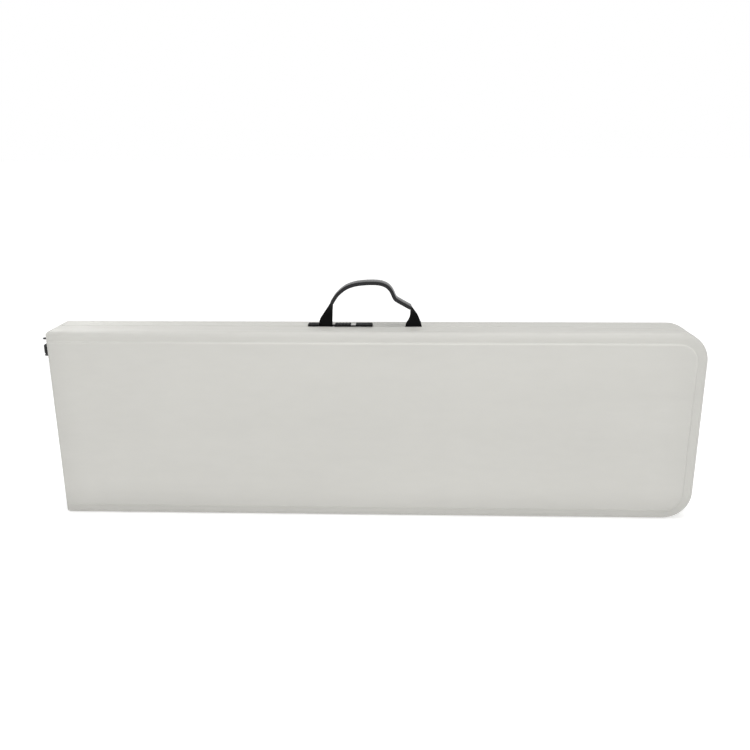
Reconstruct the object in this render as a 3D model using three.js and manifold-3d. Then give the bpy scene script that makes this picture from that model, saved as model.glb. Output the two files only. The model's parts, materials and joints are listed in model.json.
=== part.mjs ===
// Fold-in-half table with blow-moulded tops, folded flat and standing on one long edge.
// Millimetres. +X runs from the hinge end to the rounded outer end, +Y from the front half to the back half, +Z up.
// u = distance from the hinge end plane along +X; each half is drawn for the front (outer face towards -Y)
// and mirrored in Y for the back.
import * as THREE from 'three';
import { mergeVertices } from 'three/addons/utils/BufferGeometryUtils.js';
import Module from 'manifold-3d';

const wasm = await Module();
wasm.setup();

// ---------------------------------------------------------------- driving dimensions
const L = 915; // length of one half
const H = 277; // width of the table, which is the height of the folded case
const D = 78; // thickness of the two closed halves
const EAR_REACH = 20; // how far the tongues of the upper hinge's ears stand out of the hinge end
const KNUCKLE_R = { lower: 12, upper: 18.5 }; // hinge knuckle radius
const BUSH_R = { lower: 9, upper: 14.5 };
const EAR_R = { lower: 12, upper: 9.5 };
const HX = -(L + EAR_REACH) / 2 + EAR_REACH; // x of the hinge axis
const END_GAP = 0.5; // end wall to hinge axis
const SEAM_GAP = 0.4; // each half stops this far from the middle plane

const CORNER_R = 42; // outer corners seen on the table top
const HINGE_CORNER_R = 10.5; // corners at the hinge end
const EDGE_R = 8.5; // rounding between the table top and its edge
const RAISE = 1.2; // the middle of the table top stands this much above its border
const BORDER = 14; // width of that border
const SKIRT = 13; // thickness of the rim wall
const PANEL = 14; // thickness of the double-walled panel
const VOID = [28.2, 35.0]; // hollow inside the panel, as distance from the middle plane

const RAIL_Z = [20.3, 42.3]; // steel rails, measured from each long edge
const RAIL_E = [4.0, 23.0]; // distance of the rails from the middle plane
const RAIL_U = [23, 886];
const RAIL_WALL = 1.2;

const AXLE_E = 13; // leg pivots, distance from the middle plane
const PIVOT_U = 850;
const LEG_L = 404; // pivot to foot tip
const LEG_R = 10;
const LEG_Z = 57; // leg tube centre from each long edge
const BAR_B = 230; // crossbar, distance from the pivot along the leg
const BAR_R = 8;
const BRACE_L = 330;
const BRACE_R = 7;
const MID = H / 2;

const EAR = [18.2, 20.0, 42.6, 44.4]; // hinge ear plates, measured from the long edge
const BLOCK = [27.5, 42.3]; // hinge knuckle block
const PIN_R = 3.7;
const PIN_HOLE_R = 4.2;

const HANDLE_Y = 2.9; // plane of the carrying handle, close to the seam so that the case hangs level
const HANDLE_Z = H + 2; // its swing axis, where the webbing leaves the back half
const WEB_T = 2; // webbing thickness
const GRIP_W = 20; // grip, across the case
const GRIP_T = 4;
const STRAP_LEFT = [379.6, 398.4]; // webbing at the rim, from and to
const STRAP_RIGHT = [501.6, 524.6];
const LATCH_SCREW_U = [370.5, 449]; // screws of the latch housing
const LATCH_SCREW_Y = 6.4;
const TAB_Z = [H - 12.4, H + 0.5]; // the webbing's fixed ends, screwed to the rim inside the seam

// ---------------------------------------------------------------- helpers
function solid(geometry) {
  const g = geometry.index ? geometry.toNonIndexed() : geometry.clone();
  const bare = new THREE.BufferGeometry().setAttribute('position', g.getAttribute('position'));
  const merged = mergeVertices(bare, 1e-3);
  return new wasm.Manifold(
    new wasm.Mesh({
      numProp: 3,
      vertProperties: merged.attributes.position.array,
      triVerts: new Uint32Array(merged.index.array),
    }),
  );
}
function geometryOf(man) {
  const m = man.getMesh();
  const g = new THREE.BufferGeometry();
  const pos = new Float32Array((m.vertProperties.length / m.numProp) * 3);
  for (let i = 0; i < pos.length / 3; i++)
    for (let k = 0; k < 3; k++) pos[3 * i + k] = m.vertProperties[m.numProp * i + k];
  g.setAttribute('position', new THREE.BufferAttribute(pos, 3));
  g.setIndex(new THREE.BufferAttribute(new Uint32Array(m.triVerts), 1));
  const flat = g.toNonIndexed();
  flat.computeVertexNormals();
  return flat;
}
// box between two corners, with u along the half
function box(u0, u1, y0, y1, z0, z1) {
  const g = new THREE.BoxGeometry(u1 - u0, y1 - y0, z1 - z0);
  g.translate((u0 + u1) / 2 + HX, (y0 + y1) / 2, (z0 + z1) / 2);
  return solid(g);
}
// round bar along z, x or y
function barZ(u, y, r, z0, z1, n = 20) {
  const g = new THREE.CylinderGeometry(r, r, z1 - z0, n);
  g.rotateX(Math.PI / 2);
  g.translate(u + HX, y, (z0 + z1) / 2);
  return solid(g);
}
function barX(u0, u1, y, z, r, n = 20) {
  const g = new THREE.CylinderGeometry(r, r, u1 - u0, n);
  g.rotateZ(Math.PI / 2);
  g.translate((u0 + u1) / 2 + HX, y, z);
  return solid(g);
}
function barY(u, y0, y1, z, r, n = 14) {
  const g = new THREE.CylinderGeometry(r, r, y1 - y0, n);
  g.translate(u + HX, (y0 + y1) / 2, z);
  return solid(g);
}
// outline of a half seen from the front, inset by d (by dHinge at the hinge end)
function outline(d, rHinge, rOuter, steps, dHinge = d) {
  const u0 = END_GAP + dHinge;
  const u1 = L - d;
  const z0 = d;
  const z1 = H - d;
  const pts = [];
  const arc = (cu, cz, r, a0, n) => {
    for (let i = 0; i <= n; i++) {
      const a = ((a0 + (90 * i) / n) * Math.PI) / 180;
      pts.push(new THREE.Vector2(cu + r * Math.cos(a), cz + r * Math.sin(a)));
    }
  };
  arc(u1 - rOuter, z0 + rOuter, rOuter, -90, steps);
  arc(u1 - rOuter, z1 - rOuter, rOuter, 0, steps);
  arc(u0 + rHinge, z1 - rHinge, rHinge, 90, Math.max(2, steps - 3));
  arc(u0 + rHinge, z0 + rHinge, rHinge, 180, Math.max(2, steps - 3));
  return new THREE.Shape(pts);
}
// a slab of that outline between two distances e from the middle plane, on the front side (y = -e)
function slab(shape, e0, e1, bevel = 0, segments = 1) {
  const g = new THREE.ExtrudeGeometry(shape, {
    depth: e1 - e0 - bevel,
    bevelEnabled: bevel > 0,
    bevelThickness: bevel,
    bevelSize: bevel,
    bevelOffset: -bevel,
    bevelSegments: segments,
    curveSegments: 1,
    steps: 1,
  });
  g.translate(HX, 0, e0);
  g.rotateX(Math.PI / 2); // extrude direction +Z becomes -Y, and the outline's second axis becomes +Z
  return solid(g);
}
const mirrorY = (g) => {
  const m = g.clone().scale(1, -1, 1);
  const p = m.getAttribute('position').array;
  for (let i = 0; i < p.length; i += 9)
    for (let k = 0; k < 3; k++) [p[i + 3 + k], p[i + 6 + k]] = [p[i + 6 + k], p[i + 3 + k]];
  m.computeVertexNormals();
  return m;
};

const look = {
  shell: { color: 0xd3d1cb, roughness: 0.55, metalness: 0 },
  frame: { color: 0x8d9092, roughness: 0.45, metalness: 0.3 },
  zinc: { color: 0xb9bcbe, roughness: 0.35, metalness: 0.9 },
  black: { color: 0x161617, roughness: 0.45, metalness: 0 },
  grip: { color: 0x232426, roughness: 0.22, metalness: 0 },
  web: { color: 0x1a1a1b, roughness: 0.9, metalness: 0 },
  rubber: { color: 0x2b2b2c, roughness: 0.8, metalness: 0 },
  bush: { color: 0xd8c9c2, roughness: 0.4, metalness: 0 },
};
const group = new THREE.Group();
function add(name, man, kind, back = false) {
  const g = man.isBufferGeometry ? man : geometryOf(man);
  const mesh = new THREE.Mesh(back ? mirrorY(g) : g, new THREE.MeshStandardMaterial(look[kind]));
  mesh.name = name;
  group.add(mesh);
  return mesh;
}
// both long edges: z measured from the lower edge, or from the upper one
const EDGES = [
  ['lower', (a, b) => [a, b]],
  ['upper', (a, b) => [H - b, H - a]],
];

// ---------------------------------------------------------------- table top halves
function halfTop() {
  // outer form: rounded edge towards the table top, square edge at the seam
  let s = slab(outline(0, HINGE_CORNER_R, CORNER_R, 7), -20, D / 2 - RAISE, EDGE_R, 4);
  s = s.intersect(box(-5, L + 5, -D / 2 - 1, -SEAM_GAP, -5, H + 5));
  // raised middle of the table top, which runs on to the hinge end
  s = s.add(slab(outline(BORDER, 1.5, CORNER_R - BORDER, 5, EDGE_R + 0.4), D / 2 - RAISE - 1, D / 2, 0.8, 1));
  // recess that holds the folded leg and frame
  s = s.subtract(slab(outline(SKIRT, 4, CORNER_R - SKIRT, 4), -2, D / 2 - PANEL));
  // hollow inside the panel, with tack-off posts that join its two skins, and the blow hole in the end wall
  let hollow = slab(outline(11, 4, CORNER_R - 11, 3), VOID[0], VOID[1]);
  for (let i = 0; i < 6; i++)
    for (const z of [MID - 66, MID + 66])
      hollow = hollow.subtract(barY(95 + i * 145, -VOID[1] - 1, -VOID[0] + 1, z, 9, 6));
  s = s.subtract(hollow).subtract(barX(-4, 16, -31.5, MID, 2, 8));
  // notches for the two hinges
  for (const [, at] of EDGES) {
    const [a, b] = at(15, 47.5);
    s = s.subtract(box(-5, 24, -D / 2 + PANEL, 1, a, b));
  }
  // blind holes for the screws that hold the rails
  for (const [, at] of EDGES)
    for (const u of [120, 760]) {
      const z = at(31.3, 31.3)[0];
      s = s.subtract(barY(u, -D / 2 + PANEL - 2.9, -D / 2 + PANEL + 1, z, 2.1, 10));
    }
  return s;
}
{
  let front = halfTop();
  // slot for the catch plate of the latch
  front = front.subtract(box(430.7, 433.3, -14.4, 1, H - 9.4, H - 2.2));
  add('front_top', front, 'shell');
}
{
  let back = halfTop();
  // seat of the latch housing and the pocket below it, on the upper edge beside the seam
  back = back.subtract(box(363.4, 455.4, -11, 1, H - 1.2, H + 3));
  back = back.subtract(box(402, 440, -8.5, 1, H - 9.6, H + 3));
  for (const u of [LATCH_SCREW_U[0], LATCH_SCREW_U[1]]) back = back.subtract(barZ(u, -LATCH_SCREW_Y, 1.9, H - 9, H + 3, 10));
  // shallow seats for the ends of the webbing, on the seam side of the rim
  for (const [a, b] of [STRAP_LEFT, STRAP_RIGHT]) {
    back = back.subtract(box(a - 0.5, b + 0.5, -HANDLE_Y - WEB_T / 2 - 0.4, 1, H - 12.9, H + 3));
    back = back.subtract(barY((a + b) / 2, -12.5, 1, H - 7, 1.9, 10));
  }
  add('back_top', back, 'shell', true);
}

// ---------------------------------------------------------------- rails, guide tracks, axles and screws
for (const [side, back] of [['front', false], ['back', true]]) {
  for (const [where, at] of EDGES) {
    const [z0, z1] = at(...RAIL_Z);
    const [y0, y1] = [-RAIL_E[1], -RAIL_E[0]];
    let rail = box(RAIL_U[0], RAIL_U[1], y0, y1, z0, z1).subtract(
      box(RAIL_U[0] - 1, RAIL_U[1] + 1, y0 + RAIL_WALL, y1 - RAIL_WALL, z0 + RAIL_WALL, z1 - RAIL_WALL),
    );
    rail = rail.subtract(barZ(PIVOT_U, -AXLE_E, 4.5, z0 - 1, z1 + 1, 16));
    for (const u of [120, 760]) {
      rail = rail.subtract(barY(u, y0 - 1, y0 + RAIL_WALL + 1, (z0 + z1) / 2, 2.1, 10));
      rail = rail.subtract(barY(u, y1 - RAIL_WALL - 1, y1 + 1, (z0 + z1) / 2, 4.4, 12));
    }
    add(`${side}_rail_${where}`, rail, 'frame', back);
    // pan head screws, driven from the underside through the access hole
    for (const [n, u] of [[1, 120], [2, 760]]) {
      const s = barY(u, y0 + RAIL_WALL + 0.3, y0 + RAIL_WALL + 2.6, (z0 + z1) / 2, 3.8, 12).add(
        barY(u, y0 - 4.4, y0 + RAIL_WALL + 1, (z0 + z1) / 2, 1.7, 8),
      );
      add(`${side}_rail_${where}_screw_${n}`, s, 'zinc', back);
    }
  }
  // guide track for the brace glide: a shallow channel, open towards the outer end where the leg crossbar lies
  const fl = -D / 2 + PANEL + 0.3;
  let track = box(266, 600, fl, fl + 0.9, MID - 14.6, MID + 14.6);
  for (const s of [-1, 1]) {
    const a = MID + s * 13.6;
    track = track.add(box(266, 600, fl, fl + 6.4, a - 1, a + 1));
    track = track.add(box(598, 642, fl, fl + 3.0, a - 1, a + 1));
  }
  add(`${side}_brace_track`, track, 'frame', back);
  // leg axle, headed at both ends
  const axle = barZ(PIVOT_U, -AXLE_E, 4, 18, H - 18, 16)
    .add(barZ(PIVOT_U, -AXLE_E, 6.5, 17.4, 19.8, 12))
    .add(barZ(PIVOT_U, -AXLE_E, 6.5, H - 19.8, H - 17.4, 12));
  add(`${side}_leg_axle`, axle, 'zinc', back);

  // ------------------------------------------------------------ folding leg
  const [zl, zu] = [LEG_Z, H - LEG_Z];
  add(
    `${side}_leg_sleeve`,
    barZ(PIVOT_U, -AXLE_E, LEG_R, 43, H - 43, 20).subtract(barZ(PIVOT_U, -AXLE_E, 4.65, 42, H - 42, 16)),
    'frame',
    back,
  );
  const foot = PIVOT_U - LEG_L;
  for (const [where, z] of [['lower', zl], ['upper', zu]]) {
    const tube = barX(foot + 3.6, PIVOT_U - 4, -AXLE_E, z, LEG_R, 20)
      .subtract(barX(foot + 3, PIVOT_U - 3, -AXLE_E, z, LEG_R - 1.6, 16))
      .subtract(barZ(PIVOT_U, -AXLE_E, LEG_R + 0.3, 40, H - 40, 24));
    add(`${side}_leg_${where}`, tube, 'frame', back);
    const cap = barX(foot, foot + 24, -AXLE_E, z, 11.4, 20).subtract(
      barX(foot + 3.2, foot + 26, -AXLE_E, z, LEG_R + 0.35, 20),
    );
    add(`${side}_foot_${where}`, cap, 'rubber', back);
  }
  const bar = barZ(PIVOT_U - BAR_B, -AXLE_E, BAR_R, zl + 3, zu - 3, 20)
    .subtract(barZ(PIVOT_U - BAR_B, -AXLE_E, BAR_R - 1.5, zl, zu, 14))
    .subtract(barX(foot, PIVOT_U, -AXLE_E, zl, LEG_R + 0.3, 24))
    .subtract(barX(foot, PIVOT_U, -AXLE_E, zu, LEG_R + 0.3, 24));
  add(`${side}_leg_crossbar`, bar, 'frame', back);

  // ------------------------------------------------------------ brace with its glide and locking ring
  const bu = PIVOT_U - BAR_B;
  const gu = bu - BRACE_L;
  const brace = barX(gu + 11, bu - 6, -AXLE_E, MID, BRACE_R, 16)
    .subtract(barX(gu + 5, bu - 14, -AXLE_E, MID, BRACE_R - 1.4, 12))
    .add(barZ(bu, -AXLE_E, 10.8, MID - 12, MID + 12, 20))
    .subtract(barZ(bu, -AXLE_E, 8.6, MID - 14, MID + 14, 18));
  add(`${side}_brace`, brace, 'frame', back);
  const glide = barZ(gu, -AXLE_E, 10, MID - 11, MID + 11, 20).add(barX(gu, gu + 30, -AXLE_E, MID, 5.1, 12));
  add(`${side}_brace_glide`, glide, 'black', back);
  add(
    `${side}_lock_ring`,
    barX(bu - 62, bu - 32, -AXLE_E, MID, 10.2, 20).subtract(barX(bu - 64, bu - 30, -AXLE_E, MID, 7.5, 16)),
    'zinc',
    back,
  );
}

// ---------------------------------------------------------------- the two hinges
for (const [where, at] of EDGES) {
  const span = (a, b) => at(a, b);
  // fork: two ear plates joined by a web behind the front rail
  const [e0, e1] = span(EAR[0], EAR[1]);
  const [f0, f1] = span(EAR[2], EAR[3]);
  const [w0, w1] = span(EAR[0], EAR[3]);
  let fork = box(23, 62, -24.7, -23.3, w0, w1);
  for (const [a, b] of [[e0, e1], [f0, f1]]) {
    fork = fork.add(barZ(0, 0, EAR_R[where], a, b, 28)).add(box(0, 62, -24.7, -3.5, a, b));
    // stop tongue, tapered from the ear's ring to a round tip
    if (where === 'upper')
      fork = fork.add(wasm.Manifold.hull([barZ(-2, 0, 6.5, a, b, 20), barZ(3.4 - EAR_REACH, 0, 3.4, a, b, 16)]));
  }
  fork = fork.subtract(barZ(0, 0, PIN_HOLE_R, w0 - 1, w1 + 1, 20));
  add(`hinge_fork_${where}`, fork, 'black');
  // knuckle: a block on the pin with a strap along the back rail
  const [k0, k1] = span(...BLOCK);
  const kr = KNUCKLE_R[where];
  const knuckle = barZ(0, 0, kr, k0, k1, 28)
    .add(box(0, 62, 1.2, 3.6, k0, k1))
    .add(box(0, 20, 1.2, kr, k0, k1))
    .subtract(barZ(0, 0, PIN_HOLE_R, k0 - 1, k1 + 1, 20));
  add(`hinge_knuckle_${where}`, knuckle, 'black');
  const [b0, b1] = span(EAR[1] + 0.3, BLOCK[0] - 0.3);
  add(`hinge_bush_${where}`, barZ(0, 0, BUSH_R[where], b0, b1, 24).subtract(barZ(0, 0, PIN_HOLE_R, b0 - 1, b1 + 1, 20)), 'bush');
  const [p0, p1] = span(EAR[0] - 1.7, EAR[3] + 1.7);
  const pin = barZ(0, 0, PIN_R, p0, p1, 20)
    .add(barZ(0, 0, 6, p0, p0 + 1.4, 14))
    .add(barZ(0, 0, 6, p1 - 1.4, p1, 14));
  add(`hinge_pin_${where}`, pin, 'zinc');
}

// ---------------------------------------------------------------- slide latch on the upper edge
{
  // catch plate: held in the front half, its window reaches over the seam into the back half
  add(
    'latch_catch',
    box(431, 433, -14.1, 8.2, H - 9.1, H - 2.5).subtract(box(430, 434, 1.9, 6.8, H - 7.9, H - 3.7)),
    'zinc',
  );
  // housing: a thin base, a raised end block, a raised keeper block and a front lip that reaches over the seam
  let house = box(363.8, 455, 4.3, 10.6, H - 0.9, H + 0.3)
    .add(box(363.8, 378.8, 0.8, 10.6, H - 0.9, H + 3.1))
    .add(box(363.8, 378.8, -3.5, 1.5, H + 0.3, H + 3.1))
    .add(box(401.4, 455, 0.8, 5, H - 0.9, H + 0.3))
    .add(box(401.4, 455, -3.5, 1.5, H + 0.2, H + 0.8))
    .add(box(401.4, 455, -3.5, -2.5, H + 0.2, H + 1.4))
    .add(box(431.6, 455, 0.8, 10.6, H - 0.9, H + 3.1))
    .add(box(431.6, 455, -3.5, 1.5, H + 0.3, H + 3.1));
  house = house.subtract(box(425.2, 431.2, 2.2, 9.4, H - 2, H + 1)); // the base is open before the keeper
  house = house.subtract(box(431, 441, 0.4, 9.4, H + 0.3, H + 2.0)); // mouth of the keeper
  house = house.subtract(box(405.6, 418.6, 2.2, 6.4, H - 2, H + 1)); // slot for the bolt's leg
  for (const u of LATCH_SCREW_U) {
    house = house.subtract(barZ(u, LATCH_SCREW_Y, 2.1, H - 2, H + 4, 12));
    house = house.subtract(barZ(u, LATCH_SCREW_Y, 3.5, H + 1.7, H + 4, 12));
  }
  add('latch_housing', house, 'black');
  for (const [n, u] of [[1, LATCH_SCREW_U[0]], [2, LATCH_SCREW_U[1]]])
    add(
      `latch_screw_${n}`,
      barZ(u, LATCH_SCREW_Y, 3.1, H + 2.0, H + 3.0, 12).add(barZ(u, LATCH_SCREW_Y, 1.5, H - 8.6, H + 2.5, 8)),
      'zinc',
    );
  // bolt: flat bar with a leg and a finger that enters the window of the catch plate
  const bolt = box(402.6, 433.8, 1.2, 8.8, H + 0.9, H + 1.7)
    .add(box(406, 413, 2.6, 6.0, H - 7.2, H + 1.7))
    .add(box(406, 429.9, 2.6, 6.0, H - 7.2, H - 4.4));
  add('latch_bolt', bolt, 'zinc');
  // thumb piece with grip ribs
  let knob = box(401.7, 424.6, -3.3, 10.4, H + 2.0, H + 2.6);
  for (let i = 0; i < 5; i++) knob = knob.add(box(403.2 + 4.6 * i, 405.4 + 4.6 * i, -3.3, 10.4, H + 2.2, H + 3.1));
  knob = knob.add(box(401.7, 424.6, -3.3, -2.3, H + 1.6, H + 2.2)).add(box(401.7, 424.6, 9.2, 10.4, H + 0.6, H + 2.2));
  add('latch_knob', knob, 'black');
}

// ---------------------------------------------------------------- carrying handle
// fixed ends of the webbing, each held by one flat-headed screw driven from the seam side
for (const [side, [a, b]] of [['left', STRAP_LEFT], ['right', STRAP_RIGHT]]) {
  const m = (a + b) / 2;
  const tab = box(a, b, HANDLE_Y - WEB_T / 2, HANDLE_Y + WEB_T / 2, TAB_Z[0], TAB_Z[1]).subtract(
    barY(m, 0, 6, H - 7, 2.0, 12),
  );
  add(`handle_tab_${side}`, tab, 'web');
  const screw = barY(m, 0.6, HANDLE_Y - WEB_T / 2 - 0.3, H - 7, 4, 14).add(barY(m, 1, 12, H - 7, 1.5, 8));
  add(`handle_screw_${side}`, screw, 'zinc');
}
// free webbing: wide at the rim, turning edge-on towards the grip
function strap(points) {
  const shape = new THREE.Shape(points.map(([u, z]) => new THREE.Vector2(u, H + z)));
  const g = new THREE.ExtrudeGeometry(shape, { depth: WEB_T, bevelEnabled: false, steps: 1 });
  g.translate(HX, 0, -HANDLE_Y - WEB_T / 2);
  g.rotateX(Math.PI / 2);
  return solid(g);
}
add('handle_strap_left', strap([[STRAP_LEFT[0], 2.8], [STRAP_LEFT[1], 2.8], [399.2, 31.0], [396.0, 31.0]]), 'web');
add(
  'handle_strap_right',
  strap([
    [STRAP_RIGHT[0], 2.8],
    [STRAP_RIGHT[1], 2.8],
    [520.7, 10.3],
    [517.8, 17.5],
    [513.0, 24.0],
    [508.8, 24.0],
    [508.3, 17.5],
    [506.6, 11.7],
    [503.4, 5.2],
  ]),
  'web',
);
// grip: a flat moulded bar, broad across the case, that follows the arch of the handle
{
  const path = new THREE.CatmullRomCurve3(
    [
      [398.4, 33.6],
      [401.6, 39.0],
      [407.2, 46.6],
      [417.6, 55.0],
      [430, 59.8],
      [444, 61.8],
      [458, 62.2],
      [468, 61.0],
      [475.5, 57.8],
      [480.3, 53.2],
      [483.2, 48.2],
      [485.2, 43.6],
      [487.8, 39.6],
      [492.2, 36.6],
      [500, 32.2],
      [509.6, 26.9],
    ].map(([u, z]) => new THREE.Vector3(u + HX, HANDLE_Y, H + z)),
    false,
    'centripetal',
  );
  const section = [
    [-GRIP_W / 2, -0.9], [-GRIP_W / 2 + 1.1, -GRIP_T / 2], [GRIP_W / 2 - 1.1, -GRIP_T / 2], [GRIP_W / 2, -0.9],
    [GRIP_W / 2, 0.9], [GRIP_W / 2 - 1.1, GRIP_T / 2], [-GRIP_W / 2 + 1.1, GRIP_T / 2], [-GRIP_W / 2, 0.9],
  ].map(([a, b]) => new THREE.Vector2(a, b));
  const g = new THREE.ExtrudeGeometry(new THREE.Shape(section), {
    steps: 40,
    bevelEnabled: false,
    extrudePath: path,
  });
  add('handle_grip', solid(g), 'grip');
}

export default group;
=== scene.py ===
import json
import math

import bmesh
import bpy
import numpy as np
from mathutils import Matrix, Vector


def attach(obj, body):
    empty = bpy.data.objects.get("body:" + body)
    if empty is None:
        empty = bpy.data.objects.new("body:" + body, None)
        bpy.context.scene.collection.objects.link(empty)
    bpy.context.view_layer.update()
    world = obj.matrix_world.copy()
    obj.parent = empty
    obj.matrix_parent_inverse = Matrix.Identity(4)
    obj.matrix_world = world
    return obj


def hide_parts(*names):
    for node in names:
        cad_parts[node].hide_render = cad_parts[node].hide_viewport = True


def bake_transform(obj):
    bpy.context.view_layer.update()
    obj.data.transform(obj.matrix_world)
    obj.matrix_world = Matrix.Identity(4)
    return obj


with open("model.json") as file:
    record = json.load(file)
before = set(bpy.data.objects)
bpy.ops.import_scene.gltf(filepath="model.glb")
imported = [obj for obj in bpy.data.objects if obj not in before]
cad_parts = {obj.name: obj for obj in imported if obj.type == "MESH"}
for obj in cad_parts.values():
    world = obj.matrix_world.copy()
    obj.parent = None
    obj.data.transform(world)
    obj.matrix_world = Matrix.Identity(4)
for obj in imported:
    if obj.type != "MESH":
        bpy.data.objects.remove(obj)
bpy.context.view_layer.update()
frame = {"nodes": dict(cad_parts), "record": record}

# ------------------------------------------------------------------ sizes, in millimetres
L, H, D = 915.0, 277.0, 78.0          # length of one half, table width (upright), folded thickness
HX = -447.5                           # x of the hinge axis
END_GAP, SEAM_GAP = 0.5, 0.4
CORNER_R, HINGE_R, EDGE_R, END_R = 41.0, 7.0, 8.5, 5.3
RAISE = 1.7
SEAM_R = 2.2                          # rounding of the rims where the halves meet
SKIRT, PANEL = 13.0, 14.0
MID = H / 2
TAU = 2 * math.pi
STRAP_L, STRAP_R = (379.6, 398.4), (501.6, 524.6)   # webbing at the rim
LATCH_SCREW_U, LATCH_SCREW_Y = (370.5, 449.0), 6.4
AXLE_E, PIVOT_U, LEG_Z, FOOT_U, BAR_U, GLIDE_U = 13.0, 850.0, 57.0, 446.0, 620.0, 290.0
KNUCKLE_R = {"lower": 12.0, "upper": 18.5}
BUSH_R = {"lower": 9.0, "upper": 14.5}
EAR_R = {"lower": 12.0, "upper": 9.5}
EAR_REACH = 20.0


def smooth(t):
    t = min(1.0, max(0.0, t))
    return t * t * (3 - 2 * t)


# ------------------------------------------------------------------ mesh tools
class Shape:
    """Gathers closed surfaces in millimetres; x is given as u, the distance from the hinge axis plane."""

    def __init__(self):
        self.v, self.f, self.uv = [], [], {}

    def add(self, part):
        v, f = part[0], part[1]
        n = len(self.v)
        self.v.extend([tuple(map(float, p)) for p in v])
        if len(part) > 2 and part[2] is not None:
            for i, q in enumerate(part[2]):
                self.uv[n + i] = q
        self.f.extend([tuple(i + n for i in q) for q in f])
        return self

    def mirror(self):
        out = Shape()
        out.v = [(x, -y, z) for x, y, z in self.v]
        out.f = [tuple(reversed(q)) for q in self.f]
        out.uv = dict(self.uv)
        return out


def loft(loops, cap0=True, cap1=True, closed=False):
    """Joins equal-length rings of points; the rings run anticlockwise seen from the end."""
    n = len(loops[0])
    v = [p for ring in loops for p in ring]
    f = []
    m = len(loops)
    for a in range(m if closed else m - 1):
        b = (a + 1) % m
        for i in range(n):
            j = (i + 1) % n
            f.append((a * n + i, a * n + j, b * n + j, b * n + i))
    if not closed:
        if cap0:
            f.append(tuple(reversed(range(n))))
        if cap1:
            f.append(tuple((m - 1) * n + i for i in range(n)))
    return v, f


def rrect(w, h, r, k=5):
    """Rounded rectangle as 2-D points, anticlockwise, centred on the origin."""
    r = max(1e-3, min(r, w / 2 - 1e-3, h / 2 - 1e-3))
    pts = []
    for cx, cy, a0 in ((w / 2 - r, -h / 2 + r, -90), (w / 2 - r, h / 2 - r, 0), (-w / 2 + r, h / 2 - r, 90), (-w / 2 + r, -h / 2 + r, 180)):
        for i in range(k + 1):
            a = math.radians(a0 + 90 * i / k)
            pts.append((cx + r * math.cos(a), cy + r * math.sin(a)))
    return pts


def place(axis, a, p, q):
    """Point with coordinate a along the axis and p, q on the next two axes, in right-handed order."""
    if axis == "x":
        return (a, p, q)
    if axis == "y":
        return (q, a, p)
    return (p, q, a)


def rbox(x0, x1, y0, y1, z0, z1, r=0.6, axis="x", rs=None, k=4):
    """Box with every edge rounded; rs is the corner radius seen along the axis."""
    lo, hi = (x0, y0, z0), (x1, y1, z1)
    i = "xyz".index(axis)
    j, m = (i + 1) % 3, (i + 2) % 3
    w, h = hi[j] - lo[j], hi[m] - lo[m]
    cj, cm = (hi[j] + lo[j]) / 2, (hi[m] + lo[m]) / 2
    rs = r if rs is None else rs
    r = min(r, (hi[i] - lo[i]) / 2 - 1e-3, w / 2 - 1e-2, h / 2 - 1e-2)
    rings = []
    for end in (0, 1):
        for s in range(k + 1):
            a = (math.pi / 2) * (s / k)
            inset = r * (1 - math.sin(a)) if end == 0 else r * (1 - math.cos(a))
            at = lo[i] + r * (1 - math.cos(a)) if end == 0 else hi[i] - r * (1 - math.sin(a))
            rings.append([place(axis, at, cj + p, cm + q) for p, q in rrect(w - 2 * inset, h - 2 * inset, max(rs - inset, 0.02), k)])
    return loft(rings)


def revolve(profile, axis, at, n=40, closed=False):
    """Turns (distance along the axis, radius) pairs round the axis through the point at. Runs along + axis from one end to the other."""
    i = "xyz".index(axis)
    j, m = (i + 1) % 3, (i + 2) % 3
    rings = []
    for d, r in profile:
        rings.append([place(axis, at[i] + d, at[j] + max(r, 0.01) * math.cos(TAU * s / n), at[m] + max(r, 0.01) * math.sin(TAU * s / n)) for s in range(n)])
    return loft(rings, closed=closed)


def tube(axis, at, length, r, wall, n=40, lip=0.4):
    """Open pipe: outer skin, rounded rims and bore."""
    q = lip
    prof = [(q * 0.3, r - q * 0.3), (q, r), (length - q, r), (length - q * 0.3, r - q * 0.3), (length, r - q), (length, r - wall + q * 0.6), (length - q * 0.6, r - wall), (q * 0.6, r - wall), (0, r - wall + q * 0.6), (0, r - q)]
    return revolve(prof, axis, at, n, closed=True)


def prism(points, axis, lo, hi, r=0.3, k=2):
    """Extrudes a 2-D outline (anticlockwise, on the two axes after this one) with rounded rims."""
    p = np.array(points, float)
    n = len(p)
    e = np.roll(p, -1, 0) - p
    e /= np.linalg.norm(e, axis=1)[:, None]
    nrm = np.stack([e[:, 1], -e[:, 0]], 1)
    prev = np.roll(nrm, 1, 0)
    mit = nrm + prev
    mit /= np.maximum((mit * nrm).sum(1), 0.25)[:, None]
    rings = []
    for end in (0, 1):
        for s in range(k + 1):
            a = (math.pi / 2) * (s / k)
            inset = r * (1 - math.sin(a)) if end == 0 else r * (1 - math.cos(a))
            at = lo + r * (1 - math.cos(a)) if end == 0 else hi - r * (1 - math.sin(a))
            q = p - mit * inset
            rings.append([place(axis, at, x, y) for x, y in q])
    return loft(rings)


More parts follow.
